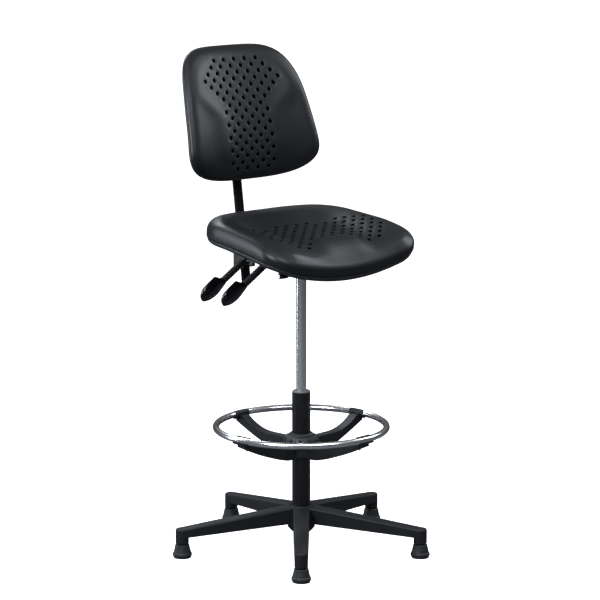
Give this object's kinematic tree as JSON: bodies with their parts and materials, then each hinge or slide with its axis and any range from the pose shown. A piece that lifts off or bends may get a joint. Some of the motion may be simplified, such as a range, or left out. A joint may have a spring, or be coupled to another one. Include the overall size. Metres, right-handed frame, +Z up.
{
  "type": "drafting chair",
  "caption": "Tall drafting chair with moulded perforated seat and backrest, gas lift, foot ring and star base on glides.",
  "frame": {"origin": "on the floor at the middle of the chair's footprint box", "axes": "+Z up, the sitter faces -Y, +X to the sitter's left"},
  "size_m": [0.6867, 0.6728, 1.3415],
  "materials": {
    "skin_foam": "satin moulded integral-skin polyurethane foam",
    "pan_plastic": "fine-textured moulded plastic",
    "nylon": "glass-filled nylon, matt",
    "grey_nylon": "matt dark grey nylon",
    "light_nylon": "natural grey acetal",
    "gloss_black": "glossy moulded plastic",
    "rubber": "matt ribbed rubber",
    "felt": "hard plastic sole",
    "black_steel": "black powder coat",
    "plain_steel": "bright zinc",
    "chrome": "polished chrome",
    "board": "black-stained plywood"
  },
  "bodies": {
    "base": {"star_base": "nylon", "foot_stems": "black_steel", "foot_bells": "grey_nylon", "foot_soles": "felt", "column_tube": "black_steel", "column_bushing": "light_nylon", "tube_foot": "plain_steel", "buffer": "rubber", "thrust_bearing": "plain_steel"},
    "piston": {"piston_rod": "plain_steel", "piston_head": "black_steel", "rod_clip": "plain_steel"},
    "lift": {"gas_cylinder": "chrome", "mechanism_housing": "black_steel", "cone_socket": "black_steel", "pivot_axle": "plain_steel", "axle_nuts": "black_steel", "tilt_spring": "plain_steel", "lever_pins": "plain_steel"},
    "release_pin": {"release_pin": "plain_steel"},
    "height_lever": {"height_rod": "black_steel", "height_sleeve": "rubber", "height_paddle": "gloss_black"},
    "tilt_lever": {"tilt_rod": "black_steel", "tilt_sleeve": "rubber", "tilt_paddle": "gloss_black"},
    "seat": {"seat_bracket": "black_steel", "seat_screws": "plain_steel", "seat_board": "board", "seat_pan": "pan_plastic", "seat_pad": "skin_foam"},
    "back_carrier": {"back_arms": "black_steel", "bar_clamp": "black_steel", "clamp_bolt": "plain_steel"},
    "backrest": {"back_bar": "black_steel", "bar_socket": "pan_plastic", "socket_screws": "plain_steel", "back_shell": "pan_plastic", "back_pad": "skin_foam"},
    "foot_ring": {"foot_ring": "chrome", "ring_spider": "nylon", "ring_clips": "nylon", "clip_screws": "plain_steel"},
    "lock_collar": {"lock_collar": "grey_nylon"}
  },
  "joints": [
    {"name": "swivel", "type": "hinge", "parent": "base", "child": "piston", "pos_m": [-0.00902, -0.02329, 0.073], "axis": [0, 0, 1], "continuous": true},
    {"name": "seat_height", "type": "slide", "parent": "piston", "child": "lift", "axis": [0, 0, 1], "range_m": [-0.25, 0.01]},
    {"name": "seat_tilt", "type": "hinge", "parent": "lift", "child": "seat", "pos_m": [-0.00902, 0.00971, 0.748], "axis": [1, 0, 0], "range_deg": [-8, 0]},
    {"name": "back_tilt", "type": "hinge", "parent": "lift", "child": "back_carrier", "pos_m": [-0.00902, 0.00971, 0.748], "axis": [1, 0, 0], "range_deg": [-12, 0]},
    {"name": "back_height", "type": "slide", "parent": "back_carrier", "child": "backrest", "axis": [0, 0.1392, 0.9903], "range_m": [-0.03, 0.05]},
    {"name": "height_lever", "type": "hinge", "parent": "lift", "child": "height_lever", "pos_m": [-0.03102, 0.02071, 0.786], "axis": [0, 1, 0], "range_deg": [0, 10], "stiffness_Nm_per_rad": 3, "springref_deg": -8.59},
    {"name": "tilt_lever", "type": "hinge", "parent": "lift", "child": "tilt_lever", "pos_m": [-0.03102, 0.10771, 0.786], "axis": [0, 1, 0], "range_deg": [0, 10], "stiffness_Nm_per_rad": 3, "springref_deg": -8.59},
    {"name": "release_pin", "type": "slide", "parent": "lift", "child": "release_pin", "axis": [0, 0, -1], "range_m": [0, 0.004]},
    {"name": "ring_height", "type": "slide", "parent": "base", "child": "foot_ring", "axis": [0, 0, 1], "range_m": [-0.1, 0.09]},
    {"name": "collar_twist", "type": "hinge", "parent": "foot_ring", "child": "lock_collar", "pos_m": [-0.00902, -0.02329, 0.303], "axis": [0, 0, 1], "range_deg": [0, 60]}
  ],
  "couplings": [
    {"joint": "release_pin", "follows": "height_lever", "m_per_rad": 0.022}
  ]
}
